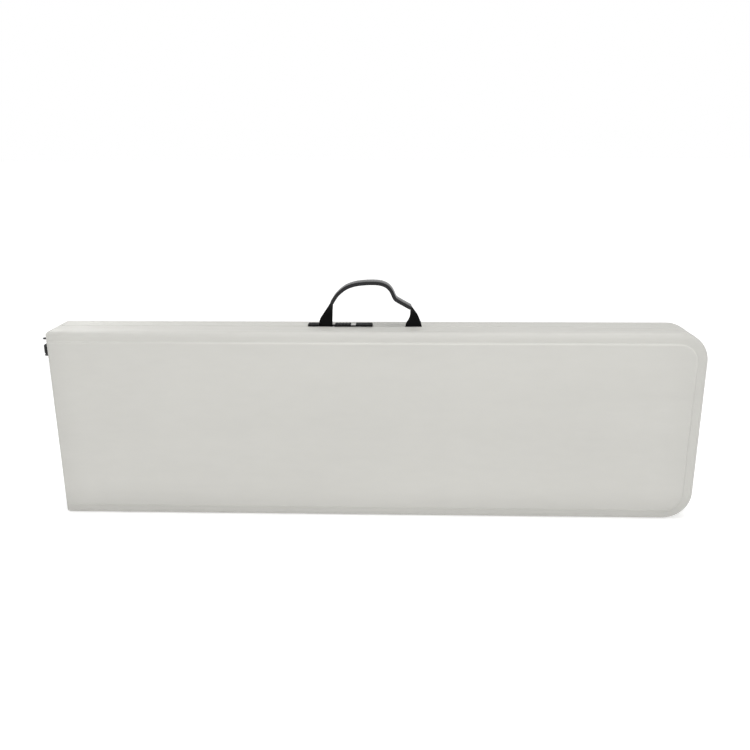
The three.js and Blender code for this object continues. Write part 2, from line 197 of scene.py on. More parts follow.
def sweep(path, section, up=(0, 1, 0), cap=True, uv=False):
    """Carries a 2-D section along a path of points. The section's first axis follows the side vector, its second the bend's normal.
    section may be a function of the share of the length."""
    P = [Vector(p) for p in path]
    n = len(P)
    total = [0.0]
    for a, b in zip(P, P[1:]):
        total.append(total[-1] + (b - a).length)
    rings = []
    for i, p in enumerate(P):
        t = (P[min(i + 1, n - 1)] - P[max(i - 1, 0)]).normalized()
        side = Vector(up)
        side = (side - t * side.dot(t)).normalized()
        nor = t.cross(side)
        sec = section(total[i] / total[-1]) if callable(section) else section
        rings.append([tuple(p + side * a + nor * b) for a, b in sec])
    return loft(rings, cap, cap)


def spline(points, n):
    """Smooth run of n points through the given ones."""
    P = np.array(points, float)
    ext = np.vstack([2 * P[0] - P[1], P, 2 * P[-1] - P[-2]])
    out = []
    d = np.linalg.norm(np.diff(P, axis=0), axis=1)
    cum = np.concatenate([[0], np.cumsum(d)])
    for s in np.linspace(0, cum[-1], n):
        k = min(int(np.searchsorted(cum, s, side="right")) - 1, len(P) - 2)
        k = max(k, 0)
        t = (s - cum[k]) / max(d[k], 1e-9)
        p0, p1, p2, p3 = ext[k], ext[k + 1], ext[k + 2], ext[k + 3]
        out.append(0.5 * (2 * p1 + (p2 - p0) * t + (2 * p0 - 5 * p1 + 4 * p2 - p3) * t * t + (3 * p1 - p0 - 3 * p2 + p3) * t ** 3))
    return [tuple(q) for q in out]


def build(name, shape, material, sharp=35.0):
    """Blender mesh object from a Shape, in metres, in the row frame."""
    me = bpy.data.meshes.new(name)
    me.from_pydata([((x + HX) / 1000, y / 1000, z / 1000) for x, y, z in shape.v], [], shape.f)
    me.validate(verbose=False)
    bm = bmesh.new()
    bm.from_mesh(me)
    bmesh.ops.recalc_face_normals(bm, faces=bm.faces)
    if shape.uv:
        layer = bm.loops.layers.uv.new("UVMap")
        bm.verts.ensure_lookup_table()
        for face in bm.faces:
            for loop in face.loops:
                loop[layer].uv = shape.uv.get(loop.vert.index, (0, 0))
    for face in bm.faces:
        face.smooth = True
    bm.to_mesh(me)
    bm.free()
    me.set_sharp_from_angle(angle=math.radians(sharp))
    ob = bpy.data.objects.new(name, me)
    bpy.context.scene.collection.objects.link(ob)
    me.materials.append(material)
    return ob


def finish_boolean(ob, cutter, operation="DIFFERENCE", sharp=35.0, use_self=False):
    """Cuts ob with cutter and keeps the result as ob's mesh."""
    mod = ob.modifiers.new("cut", "BOOLEAN")
    mod.operation = operation
    mod.solver = "EXACT"
    mod.use_self = use_self
    mod.object = cutter
    dg = bpy.context.evaluated_depsgraph_get()
    me = bpy.data.meshes.new_from_object(ob.evaluated_get(dg))
    ob.modifiers.clear()
    old = ob.data
    mats = list(old.materials)
    ob.data = me
    me.materials.clear()
    for m in mats:
        me.materials.append(m)
    for p in me.polygons:
        p.use_smooth = True
        p.material_index = 0
    me.set_sharp_from_angle(angle=math.radians(sharp))
    bpy.data.objects.remove(cutter, do_unlink=True)


def put(name, shape, material, body, nodes=(), sharp=35.0, back=False, cutter=None):
    ob = build(name, shape.mirror() if back else shape, material, sharp)
    for c in cutter or ():
        finish_boolean(ob, build(name + "_cut", c.mirror() if back else c, material), sharp=sharp)
    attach(ob, body)
    if nodes:
        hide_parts(*nodes)
    return ob


# ------------------------------------------------------------------ materials
class Nodes:
    def __init__(self, name):
        self.m = bpy.data.materials.new(name)
        self.m.use_nodes = True
        self.t = self.m.node_tree
        self.t.nodes.clear()
        self.out = self.n("ShaderNodeOutputMaterial")
        self.b = self.n("ShaderNodeBsdfPrincipled")
        self.t.links.new(self.b.outputs[0], self.out.inputs[0])

    def n(self, kind, **props):
        node = self.t.nodes.new(kind)
        for k, v in props.items():
            setattr(node, k, v)
        return node

    def link(self, a, b):
        self.t.links.new(a, b)

    def coords(self, scale=(1, 1, 1), kind="Object"):
        c = self.n("ShaderNodeTexCoord")
        m = self.n("ShaderNodeMapping")
        m.inputs["Scale"].default_value = scale
        self.link(c.outputs[kind], m.inputs["Vector"])
        return m.outputs[0]

    def noise(self, scale, detail=3, rough=0.5, vec=None, distortion=0.0):
        x = self.n("ShaderNodeTexNoise")
        x.inputs["Scale"].default_value = scale
        x.inputs["Detail"].default_value = detail
        x.inputs["Roughness"].default_value = rough
        x.inputs["Distortion"].default_value = distortion
        if vec is not None:
            self.link(vec, x.inputs["Vector"])
        return x.outputs["Fac"]

    def voronoi(self, scale, vec=None, feature="F1", rand=1.0, out="Distance"):
        x = self.n("ShaderNodeTexVoronoi", feature=feature)
        x.inputs["Scale"].default_value = scale
        x.inputs["Randomness"].default_value = rand
        if vec is not None:
            self.link(vec, x.inputs["Vector"])
        return x.outputs[out]

    def ramp(self, fac, stops, interp="LINEAR"):
        r = self.n("ShaderNodeValToRGB")
        r.color_ramp.interpolation = interp
        el = r.color_ramp.elements
        while len(el) < len(stops):
            el.new(0.5)
        for e, (p, c) in zip(el, stops):
            e.position = p
            e.color = (*c, 1) if len(c) == 3 else c
        self.link(fac, r.inputs[0])
        return r.outputs["Color"]

    def range(self, fac, a, b, c, d):
        r = self.n("ShaderNodeMapRange")
        r.inputs["From Min"].default_value = a
        r.inputs["From Max"].default_value = b
        r.inputs["To Min"].default_value = c
        r.inputs["To Max"].default_value = d
        self.link(fac, r.inputs["Value"])
        return r.outputs[0]

    def math(self, op, a, b=None):
        m = self.n("ShaderNodeMath", operation=op)
        for i, v in enumerate((a, b)):
            if v is None:
                continue
            if isinstance(v, (int, float)):
                m.inputs[i].default_value = v
            else:
                self.link(v, m.inputs[i])
        return m.outputs[0]

    def mix(self, fac, a, b):
        m = self.n("ShaderNodeMix", data_type="RGBA")
        for sock, v in (("Factor", fac), ("A", a), ("B", b)):
            s = next(i for i in m.inputs if i.name == sock and i.enabled)
            if isinstance(v, (int, float)):
                s.default_value = v
            elif isinstance(v, (tuple, list)):
                s.default_value = (*v, 1)
            else:
                self.link(v, s)
        return next(o for o in m.outputs if o.enabled)

    def bump(self, height, strength, distance, normal=None):
        b = self.n("ShaderNodeBump")
        b.inputs["Strength"].default_value = strength
        b.inputs["Distance"].default_value = distance
        self.link(height, b.inputs["Height"])
        if normal is not None:
            self.link(normal, b.inputs["Normal"])
        return b.outputs[0]

    def put(self, **sockets):
        for k, v in sockets.items():
            s = self.b.inputs[k.replace("_", " ")]
            if isinstance(v, (int, float)):
                s.default_value = v
            elif isinstance(v, (tuple, list)):
                s.default_value = (*v, 1) if len(v) == 3 and s.type == "RGBA" else v
            else:
                self.link(v, s)
        return self


def sep_z(k):
    s = k.n("ShaderNodeSeparateXYZ")
    c = k.n("ShaderNodeTexCoord")
    k.link(c.outputs["Object"], s.inputs[0])
    return s.outputs


def shell_material():
    k = Nodes("moulded_top")
    tone = (0.518, 0.512, 0.482)
    big = k.noise(3.2, 3, 0.55)
    blot = k.noise(26, 4, 0.6)
    v1 = k.range(big, 0.3, 0.7, -0.012, 0.012)
    v2 = k.range(blot, 0.3, 0.7, -0.006, 0.006)
    amount = k.math("ADD", v1, v2)
    light = tuple(min(1, c * 1.03) for c in tone)
    dark = tuple(c * 0.955 for c in tone)
    col = k.mix(k.math("ADD", k.math("MULTIPLY", amount, 22.0), 0.5), dark, light)
    # painted shade: a darker strip over the bottom 10 mm of the standing edge, mottled by noise
    xyz = sep_z(k)
    bottom_shade = k.range(xyz[2], 0.010, 0.0, 0.0, 1.0)
    shade_mottle = k.range(k.noise(160, 5, 0.7, k.coords((0.25, 1, 1))), 0.48, 0.72, 0.0, 0.55)
    col = k.mix(k.math("MULTIPLY", bottom_shade, shade_mottle), col, (0.30, 0.285, 0.255))
    # painted shade: a soft greyer band along the standing edge and at both ends
    foot = k.math("POWER", k.range(xyz[2], 0.052, 0.0, 0.0, 1.0), 1.7)
    tip_shade = k.math("POWER", k.range(xyz[0], 0.408, 0.4675, 0.0, 1.0), 1.3)
    butt_shade = k.math("POWER", k.range(xyz[0], -0.405, -0.4475, 0.0, 1.0), 1.6)
    painted_shade = k.math("ADD", k.math("MULTIPLY", foot, 0.25), k.math("ADD", k.math("MULTIPLY", tip_shade, 0.08), k.math("MULTIPLY", butt_shade, 0.09)))
    col = k.mix(painted_shade, col, tuple(c * 0.25 for c in tone))
    # a few faint rub marks over the whole face
    marks = k.range(k.noise(9, 6, 0.75, k.coords((0.35, 1, 1.4)), 1.2), 0.66, 0.76, 0.0, 0.10)
    col = k.mix(marks, col, (0.44, 0.43, 0.40))
    # painted highlight: the rim of the raised panel made lighter, strongest along its upper edge
    rub = k.n("ShaderNodeAttribute", attribute_name="rim_highlight_paint")
    col = k.mix(k.math("MULTIPLY", rub.outputs["Fac"], k.range(blot, 0.3, 0.7, 0.75, 1.0)), col, tuple(c * 1.13 for c in tone))
    # moulded leather-like grain, about 1.5 mm, with a finer one on it
    grain = k.voronoi(620, None, "F1", 1.0)
    fine = k.noise(1500, 2, 0.5)
    height = k.math("ADD", k.math("MULTIPLY", grain, 0.7), k.math("MULTIPLY", fine, 0.35))
    nrm = k.bump(height, 0.22, 0.0003)
    # the sheet's long, shallow waves over the tack-offs
    nrm = k.bump(k.noise(17, 1, 0.4), 0.10, 0.004, nrm)
    rough = k.range(k.noise(45, 4, 0.6), 0.3, 0.7, 0.47, 0.57)
    k.put(Base_Color=col, Roughness=rough, Normal=nrm, IOR=1.5, Subsurface_Weight=0.0)
    return k.m


def black_plastic(name="black_plastic", tone=(0.0075, 0.0075, 0.008), rough=(0.52, 0.66)):
    k = Nodes(name)
    dust = k.range(k.noise(60, 5, 0.65), 0.55, 0.85, 0.0, 0.25)
    col = k.mix(dust, tone, tuple(c * 2.6 + 0.01 for c in tone))
    nrm = k.bump(k.voronoi(1500, None, "F1", 1.0), 0.25, 0.00012)
    k.put(Base_Color=col, Roughness=k.range(k.noise(140, 4, 0.6), 0.3, 0.7, *rough), Normal=nrm, IOR=1.22)
    return k.m


def grip_material():
    k = Nodes("handle_grip")
    tone = (0.011, 0.011, 0.012)
    smear = k.noise(38, 5, 0.65, k.coords((0.5, 1, 1)))
    col = k.mix(k.range(smear, 0.4, 0.8, 0.0, 0.3), tone, (0.025, 0.025, 0.027))
    nrm = k.bump(k.noise(420, 3, 0.5), 0.10, 0.0002)
    k.put(Base_Color=col, Roughness=k.range(smear, 0.3, 0.75, 0.20, 0.34), Normal=nrm, IOR=1.30)
    return k.m


def powder_coat():
    k = Nodes("frame_steel")
    tone = (0.235, 0.245, 0.250)
    col = k.mix(k.range(k.noise(7, 4, 0.6), 0.3, 0.7, 0.0, 1.0), tuple(c * 0.93 for c in tone), tuple(c * 1.06 for c in tone))
    rub = k.range(k.noise(75, 6, 0.75, k.coords((0.3, 1, 1)), 0.6), 0.665, 0.73, 0.0, 0.8)
    col = k.mix(rub, col, (0.42, 0.42, 0.42))
    peel = k.noise(950, 2, 0.45)
    nrm = k.bump(peel, 0.25, 0.00022)
    k.put(Base_Color=col, Roughness=k.range(k.noise(210, 3, 0.6), 0.3, 0.7, 0.36, 0.50), Metallic=k.math("MULTIPLY", rub, 0.7), Normal=nrm, IOR=1.5)
    return k.m


def black_steel():
    k = Nodes("black_steel")
    tone = (0.010, 0.010, 0.011)
    rub = k.range(k.noise(130, 6, 0.75), 0.66, 0.74, 0.0, 0.6)
    col = k.mix(rub, tone, (0.16, 0.155, 0.15))
    nrm = k.bump(k.noise(1100, 3, 0.5), 0.3, 0.00015)
    k.put(Base_Color=col, Roughness=k.range(k.noise(230, 3, 0.6), 0.3, 0.7, 0.38, 0.52), Metallic=k.math("MULTIPLY", rub, 0.8), Normal=nrm, IOR=1.38)
    return k.m


def zinc_material():
    k = Nodes("zinc_steel")
    tint = k.noise(22, 4, 0.6)
    col = k.mix(k.range(tint, 0.3, 0.7, 0.0, 1.0), (0.56, 0.57, 0.59), (0.68, 0.67, 0.62))
    dull = k.range(k.noise(120, 5, 0.7), 0.56, 0.75, 0.0, 0.6)
    col = k.mix(dull, col, (0.34, 0.33, 0.31))
    lines = k.noise(900, 2, 0.5, k.coords((0.06, 1, 1)))
    nrm = k.bump(lines, 0.18, 0.00012)
    k.put(Base_Color=col, Metallic=1.0, Roughness=k.range(k.noise(260, 3, 0.6), 0.3, 0.7, 0.26, 0.42), Normal=nrm)
    return k.m


def rubber_material():
    k = Nodes("foot_rubber")
    worn = k.range(k.noise(110, 5, 0.7), 0.5, 0.75, 0.0, 0.5)
    col = k.mix(worn, (0.017, 0.017, 0.018), (0.06, 0.058, 0.055))
    nrm = k.bump(k.noise(700, 4, 0.6), 0.35, 0.0003)
    k.put(Base_Color=col, Roughness=k.range(worn, 0.0, 1.0, 0.72, 0.9), Normal=nrm, IOR=1.5)
    return k.m


def bush_material():
    k = Nodes("hinge_bush")
    col = k.mix(k.range(k.noise(180, 4, 0.6), 0.35, 0.7, 0.0, 1.0), (0.66, 0.49, 0.43), (0.72, 0.60, 0.55))
    nrm = k.bump(k.noise(800, 3, 0.5), 0.2, 0.0002)
    k.put(Base_Color=col, Roughness=k.range(k.noise(240, 3, 0.6), 0.3, 0.7, 0.38, 0.52), Normal=nrm, IOR=1.5)
    return k.m


def webbing_material():
    """Flat woven nylon: warp ribs 1.1 mm apart along the strap, crossed by weft picks, in the strap's own millimetres."""
    k = Nodes("webbing")
    c = k.n("ShaderNodeUVMap")
    c.uv_map = "UVMap"
    s = k.n("ShaderNodeSeparateXYZ")
    k.link(c.outputs[0], s.inputs[0])
    along, across = s.outputs[0], s.outputs[1]

    def wave(x, pitch, phase=None):
        a = k.math("MULTIPLY", x, TAU / pitch)
        if phase is not None:
            a = k.math("ADD", a, phase)
        return k.math("ADD", k.math("MULTIPLY", k.math("SINE", a), 0.5), 0.5)

    rib = wave(across, 1.25)
    half = k.math("MULTIPLY", k.math("ROUND", k.math("MULTIPLY", k.math("SINE", k.math("MULTIPLY", across, TAU / 2.5)), 0.98)), math.pi / 2)
    pick = wave(along, 1.5, half)
    weave = k.math("MULTIPLY", k.math("POWER", rib, 0.6), k.math("ADD", k.math("MULTIPLY", pick, 0.75), 0.25))
    fuzz = k.noise(2400, 3, 0.6)
    height = k.math("ADD", weave, k.math("MULTIPLY", fuzz, 0.25))
    col = k.mix(weave, (0.0030, 0.0030, 0.0032), (0.0095, 0.0095, 0.010))
    col = k.mix(k.range(k.noise(90, 5, 0.7), 0.55, 0.8, 0.0, 0.25), col, (0.022, 0.021, 0.020))
    k.put(Base_Color=col, Roughness=k.range(fuzz, 0.2, 0.8, 0.72, 0.92), Normal=k.bump(height, 0.9, 0.00035), IOR=1.2)
    return k.m


M_SHELL, M_BLACK, M_GRIP = shell_material(), black_plastic(), grip_material()
M_BLACK_STEEL, M_STEEL, M_ZINC, M_RUBBER, M_BUSH, M_WEB = black_steel(), powder_coat(), zinc_material(), rubber_material(), bush_material(), webbing_material()
BY_SLOT = {"moulded_top": M_SHELL, "frame_steel": M_STEEL, "zinc_steel": M_ZINC, "black_plastic": M_BLACK, "black_steel": M_BLACK_STEEL, "handle_grip": M_GRIP, "webbing": M_WEB, "foot_rubber": M_RUBBER, "hinge_bush": M_BUSH}
SLOT_OF = {s["node"]: s["material_slot"] for s in frame["record"]["subparts"]}
for node, ob in frame["nodes"].items():
    ob.data.materials.clear()
    ob.data.materials.append(BY_SLOT[SLOT_OF[node]])


# ------------------------------------------------------------------ table top halves
def outline(d, dh, rh, hinge_z):
    """Ring of (u, z) round a half, inset d from three sides and dh from the hinge end."""
    u0, u1, z0, z1 = END_GAP + dh, L - d, d, H - d
    ro = max(CORNER_R - d, 3.0)
    pts = []

    def line(a, b, n):
        for i in range(1, n):
            t = i / n
            pts.append((a[0] + (b[0] - a[0]) * t, a[1] + (b[1] - a[1]) * t))

    def arc(cu, cz, r, a0, n):
        for i in range(n + 1):
            a = math.radians(a0 + 90 * i / n)
            pts.append((cu + r * math.cos(a), cz + r * math.sin(a)))

    line((u0 + rh, z0), (u1 - ro, z0), 12)
    arc(u1 - ro, z0 + ro, ro, -90, 20)
    line((u1, z0 + ro), (u1, z1 - ro), 5)
    arc(u1 - ro, z1 - ro, ro, 0, 20)
    line((u1 - ro, z1), (u0 + rh, z1), 12)
    arc(u0 + rh, z1 - rh, rh, 90, 7)
    n = len(hinge_z)
    for k, z in enumerate(hinge_z):
        pts.append((u0, min(H - z, z1 - rh - 0.12 * (k + 1))))
    line((u0, min(H - hinge_z[-1], z1 - rh - 0.12 * n)), (u0, max(hinge_z[-1], z0 + rh + 0.12 * n)), 5)
    for k, z in reversed(list(enumerate(hinge_z))):
        pts.append((u0, max(z, z0 + rh + 0.12 * (k + 1))))
    arc(u0 + rh, z0 + rh, rh, 180, 7)
    return pts


HINGE_Z = [11.3, 12.0, 12.6, 13.2, 13.8, 14.4, 15.0, 15.6, 16.4, 18.0, 22.0]


def depth3(u, z):
    """Distance in from the three outer sides, following the round corners."""
    cz = min(z, H - z)
    if u > L - CORNER_R and cz < CORNER_R:
        return CORNER_R - math.hypot(u - (L - CORNER_R), CORNER_R - cz)
    return min(cz, L - u)


def top_height(u, z):
    """Distance of the table top's surface from the middle plane."""
    border = D / 2 - RAISE

    def edge(t, level, r):
        if t >= r:
            return level
        t = max(t, 0.0)
        return level - r + math.sqrt(max(0.0, r ** 2 - (r - t) ** 2))

    # the long edges are rounded more than the ends
    t3 = depth3(u, z)
    a = edge(t3, border, EDGE_R + (END_R - EDGE_R) * smooth((u - L + CORNER_R) / (CORNER_R - 6))) + RAISE * smooth((t3 - 13.4) / 3.0)
    b = edge(u - END_GAP, D / 2, END_R)
    return min(a, b)


def half_shape():
    rings = []

    def ring(d, dh, e=None, rh=None):
        pts = outline(d, dh, max(HINGE_R - d, 0.6) if rh is None else rh, HINGE_Z)
        rings.append([(u, -(top_height(u, z) if e is None else e), z) for u, z in pts])

    # from the middle of the table top outwards, over the rounded edge and down the rim
    for d, dh in ((24, 18), (19.5, 15.2), (17.0, 13.6), (16.4, 13.2), (15.9, 12.7), (15.4, 12.3), (14.9, 11.9), (14.4, 11.5), (13.9, 11.1), (13.4, 10.7), (12.8, 10.3), (11.6, 9.8), (9.8, 9.0)):
        ring(d, dh)
    for s in range(11):
        a = math.radians(90 * s / 10)
        t = EDGE_R * (1 - math.cos(math.pi / 2 - a))
        ring(t, t)
    side = [(26, 0), (21.4, 0), (20.9, 0), (20.6, -0.16), (20.0, -0.2), (19.4, -0.16), (19.1, 0), (18.6, 0), (10, 0)]
    for e, t in side:
        ring(t, t, e)
    for s in range(0, 6):
        a = math.radians(90 * s / 5)
        ring(SEAM_R * (1 - math.cos(a)), SEAM_R * (1 - math.cos(a)), SEAM_GAP + SEAM_R - SEAM_R * math.sin(a))
    ring(4.2, 4.2, SEAM_GAP, 7)
    ring(8, 8, SEAM_GAP, 5)
    for s in range(4):
        a = math.radians(90 * s / 3)
        t = SKIRT - 1.0 + math.sin(a)
        ring(t, t, SEAM_GAP + 1.0 - math.cos(a), 4)
    ring(SKIRT + 0.15, SKIRT + 0.15, 6, 4)
    ring(SKIRT + 0.3, SKIRT + 0.3, 16, 4)
    for s in range(5):
        a = math.radians(90 * s / 4)
        t = SKIRT + 0.4 + 3.0 * (1 - math.cos(a))
        ring(t, t, D / 2 - PANEL - 3.0 + 3.0 * math.sin(a), 4)
    ring(SKIRT + 8, SKIRT + 8, D / 2 - PANEL, 4)
    rings.reverse()
    sh = Shape()
    sh.add(loft(rings))
    return sh


def cyl(axis, at, length, r, n=28):
    return revolve([(0, r), (length, r)], axis, at, n)


def half_cutters(back):
    """Groups of cutting shapes; the shapes of one group never touch each other."""
    c = Shape()
    # hinge notches in the end wall
    for a, b in ((15, 47.5), (H - 47.5, H - 15)):
        c.add(rbox(-6, 24, -(D / 2 - PANEL), 3, a, b, 1.0, "y", rs=1.6))
    # kiss-offs: rows of round cups in the underside
    floor = D / 2 - PANEL
    cup = [(-7.2, 0.4), (-7.0, 3.2), (-6.6, 4.6), (-5.2, 6.0), (-1.6, 7.2), (-0.5, 7.9), (-0.05, 9.0), (1.5, 9.4)]
    for i in range(17):
        for z in (70, 104, H - 104, H - 70):
            c.add(revolve(cup, "y", (58 + i * 49, -floor, z), 24))
    # blow hole in the end wall
    c.add(cyl("x", (-3, -31.5, MID), 8, 2.0, 20))
    groups = [c]
    if back:
        groups.append(Shape().add(rbox(363.4, 455.4, -11, 3, H - 1.2, H + 6, 0.3, "z", rs=1.6)))
        c = Shape().add(rbox(402, 440, -8.5, 3, H - 9.6, H + 5, 0.3, "z"))
        c.add(rbox(STRAP_L[0] - 0.5, STRAP_L[1] + 0.5, -4.3, 3, H - 12.9, H + 5, 0.4, "y", rs=0.8))
        c.add(rbox(STRAP_R[0] - 0.5, STRAP_R[1] + 0.5, -4.3, 3, H - 12.9, H + 5, 0.4, "y", rs=0.8))
        groups.append(c)
        c = Shape()
        for a, b in (STRAP_L, STRAP_R):
            c.add(cyl("y", ((a + b) / 2, -12.5, H - 7), 14, 1.9))
        for u in LATCH_SCREW_U:
            c.add(cyl("z", (u, -LATCH_SCREW_Y, H - 9), 14, 1.9))
        groups.append(c)
    else:
        groups.append(Shape().add(rbox(430.7, 433.3, -14.4, 3, H - 9.4, H - 2.2, 0.2, "y")))
    return groups


base = half_shape()
tops = [put("front_table_top", base, M_SHELL, "front_half", ["front_top"], 32, cutter=half_cutters(False)),
        put("back_table_top", base, M_SHELL, "back_half", ["back_top"], 32, back=True, cutter=half_cutters(True))]
for ob in tops:
    # strength of the painted highlight on the rim of the raised panel, strongest along the upper edge
    rim = ob.data.attributes.new("rim_highlight_paint", "FLOAT", "POINT")
    for i, v in enumerate(ob.data.vertices):
        u, y, z = v.co.x * 1000 - HX, abs(v.co.y) * 1000, v.co.z * 1000
        t = depth3(u, z)
        rim.data[i].value = math.exp(-((t - 15.9) / 0.8) ** 2) * smooth((z - 175) / 75) * (0.25 + 0.75 * smooth((u - 90) / 260)) if y > 30 else 0.0


# ------------------------------------------------------------------ screws
def screw(axis, at, length, r_head, h_head, r_shank, sign=1, name_cut=None):
    """Pan-head screw: at is the underside centre of the head, the head lies towards sign along the axis."""
    dome = [(-length, 0.05), (-length + 1.6, r_shank)]
    turns = max(3, int((length - 2) / 1.1))
    for i in range(turns):
        a = -length + 1.6 + (length - 2.0) * i / turns
        b = (length - 2.0) / turns
        dome += [(a + 0.15 * b, r_shank * 0.82), (a + 0.55 * b, r_shank * 1.06), (a + 0.85 * b, r_shank * 0.82)]
    dome += [(-0.3, r_shank), (0, r_shank), (0, r_head * 0.97), (0.12 * h_head, r_head), (0.45 * h_head, r_head * 0.97), (0.78 * h_head, r_head * 0.80), (0.96 * h_head, r_head * 0.5), (h_head, r_head * 0.05)]
    if sign < 0:
        dome = [(-d, r) for d, r in reversed(dome)]
    return revolve(dome, axis, at, 28)


def put_screw(name, axis, at, length, r_head, h_head, r_shank, sign, body, back=False, turn=0.3, metal=None):
    sh = Shape().add(screw(axis, at, length, r_head, h_head, r_shank, sign))
    top = list(at)
    i = "xyz".index(axis)
    top[i] += sign * h_head
    ob = build(name + "_detailed", sh.mirror() if back else sh, metal or M_ZINC, 30)
    for q in (0, 1):
        c = Shape()
        a = turn + q * math.pi / 2
        pts = []
        r = r_head * 0.55
        for x, y in ((-r, -0.17 * r), (r, -0.17 * r), (r, 0.17 * r), (-r, 0.17 * r)):
            pts.append((at[(i + 1) % 3] + x * math.cos(a) - y * math.sin(a), at[(i + 2) % 3] + x * math.sin(a) + y * math.cos(a)))
        lo, hi = sorted((top[i] - sign * h_head * 0.6, top[i] + sign * 2))
        c.add(prism(pts, axis, lo, hi, 0.02, 1))
        finish_boolean(ob, build(name + "_cut", c.mirror() if back else c, M_ZINC), sharp=30)
    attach(ob, body)
    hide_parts(name)
    return ob


# ------------------------------------------------------------------ carrying handle
WEB_Y = 2.9


def webbing(path, half_w, twist, t=1.9):
    """Ribbon with rounded selvedges. half_w(s): half width, twist(s): angle from the x axis towards +y, s = share of the length."""
    P = [Vector(p) for p in path]
    n = len(P)
    cum = [0.0]
    for a, b in zip(P, P[1:]):
        cum.append(cum[-1] + (b - a).length)
    k = 9
    v, uvs, rings = [], [], []
    for i, p in enumerate(P):
        s = cum[i] / cum[-1]
        tan = (P[min(i + 1, n - 1)] - P[max(i - 1, 0)]).normalized()
        a = twist(s)
        w = Vector((math.cos(a), math.sin(a), 0))
        w = (w - tan * w.dot(tan)).normalized()
        nor = tan.cross(w)
        hw = half_w(s)
        ring, uv = [], []
        sec = []
        for q in range(k + 1):
            x = -1 + 2 * q / k
            edge = max(0.0, abs(x) - 0.80) / 0.20
            sec.append((x, -0.5 * math.sqrt(max(0.0, 1 - edge ** 2 * 0.75))))
        for q in range(k, -1, -1):
            x = -1 + 2 * q / k
            edge = max(0.0, abs(x) - 0.80) / 0.20
            sec.append((x, 0.5 * math.sqrt(max(0.0, 1 - edge ** 2 * 0.75))))
        for x, y in sec:
            ring.append(tuple(p + w * (x * hw) + nor * (y * t)))
            uv.append((cum[i], x * 12.0))
        rings.append(ring)
        uvs += uv
    vv, ff = loft(rings)
    return vv, ff, uvs


def table_value(tab, h):
    for (a, x), (b, y) in zip(tab, tab[1:]):
        if h <= b:
            return x + (y - x) * (h - a) / (b - a)
    return tab[-1][1]


def strap(left, right, top, half_top, turn, n=56):
    """Webbing from inside the seam up to the grip; left and right give its edges as (height over the rim, u)."""
    z_lo = H - 12.4
    rows = []
    for i in range(n + 1):
        h = -12.4 + (top + 12.4) * i / n
        rows.append((h, table_value(left, h), table_value(right, h)))
    pts = [((a + b) / 2, WEB_Y, H + h) for h, a, b in rows]
    across = [half_top * smooth(max(0.0, h - 2) / (top - 3)) for h, a, b in rows]
    full = [math.hypot((b - a) / 2, w) for (h, a, b), w in zip(rows, across)]
    ang = [turn * math.atan2(w, (b - a) / 2) for (h, a, b), w in zip(rows, across)]

    def at(s, arr):
        x = s * n
        i = min(int(x), n - 1)
        return arr[i] + (arr[i + 1] - arr[i]) * (x - i)

    return webbing(pts, lambda s: at(s, full), lambda s: at(s, ang))


left_strap = strap([(-13, 379.6), (2.6, 379.2), (5.4, 379.7), (8.5, 381.0), (14.8, 384.9), (21.1, 388.8), (27.3, 392.7), (32.9, 396.2), (35, 397.4)],
                   [(-13, 398.4), (13.5, 398.4), (21.5, 398.3), (29.6, 398.6), (35, 399.8)], 35.0, 9.2, 1)
right_strap = strap([(-13, 501.6), (1.4, 501.9), (5.6, 503.8), (9, 505.9), (12.2, 507.5), (16.1, 508.5), (21.3, 508.6), (28, 508.6)],
                    [(-13, 524.6), (1.4, 524.6), (5.9, 523.6), (9.1, 521.9), (13.9, 519.6), (18.8, 517.2), (23.4, 514.2), (27.1, 511.4), (28, 510.8)], 28.0, 9.2, -1)
for side, part in (("left", left_strap), ("right", right_strap)):
    ob = build("handle_webbing_" + side, Shape().add(part), M_WEB, 60)
    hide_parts("handle_strap_" + side, "handle_tab_" + side)
    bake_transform(ob)
for side, (a, b) in (("left", STRAP_L), ("right", STRAP_R)):
    put_screw("handle_screw_" + side, "y", ((a + b) / 2, 1.6, H - 7), 10.3, 4.0, 1.0, 1.5, -1, "back_half")

# grip: a flat moulded bar, broad across the case, with a crowned top, square ends and a kink where it turns down
grip_path = spline([(398.4, WEB_Y, H + 33.6), (401.6, WEB_Y, H + 39.0), (407.2, WEB_Y, H + 46.6), (417.6, WEB_Y, H + 55.0), (430, WEB_Y, H + 59.8), (444, WEB_Y, H + 61.8), (458, WEB_Y, H + 62.2), (468, WEB_Y, H + 61.0), (475.5, WEB_Y, H + 57.8), (480.3, WEB_Y, H + 53.2), (483.2, WEB_Y, H + 48.2), (485.2, WEB_Y, H + 43.6), (487.4, WEB_Y, H + 39.8), (491.6, WEB_Y, H + 36.9), (500, WEB_Y, H + 32.2), (509.0, WEB_Y, H + 27.2)], 120)


def grip_section(s):
    end = min(s, 1 - s)
    t = 2.5 - 0.5 * (1 - smooth(end / 0.006))
    half = 10.0 - 0.5 * (1 - smooth(end / 0.006))
    pts = []
    for cy, cz, a0 in ((half - 0.9, -t + 0.9, -90), (half - 0.7, t - 0.7, 0)):
        r = 0.9 if a0 < 0 else 0.7
        for i in range(5):
            a = math.radians(a0 + 90 * i / 4)
            pts.append((cy + r * math.cos(a), cz + r * math.sin(a)))
    for i in range(1, 12):
        q = 1 - 2 * i / 12
        groove = 0.35 * math.exp(-((abs(q) - 0.62) / 0.05) ** 2)
        pts.append((q * (half - 0.7), t + 0.35 * (1 - q * q) - groove))
    for cy, cz, a0 in ((-half + 0.7, t - 0.7, 90), (-half + 0.9, -t + 0.9, 180)):
        r = 0.7 if a0 == 90 else 0.9
        for i in range(5):
            a = math.radians(a0 + 90 * i / 4)
            pts.append((cy + r * math.cos(a), cz + r * math.sin(a)))
    return pts


grip = Shape().add(sweep(grip_path, grip_section, up=(0, 1, 0)))
put("handle_grip_moulding", grip, M_GRIP, "handle", ["handle_grip"], 30)


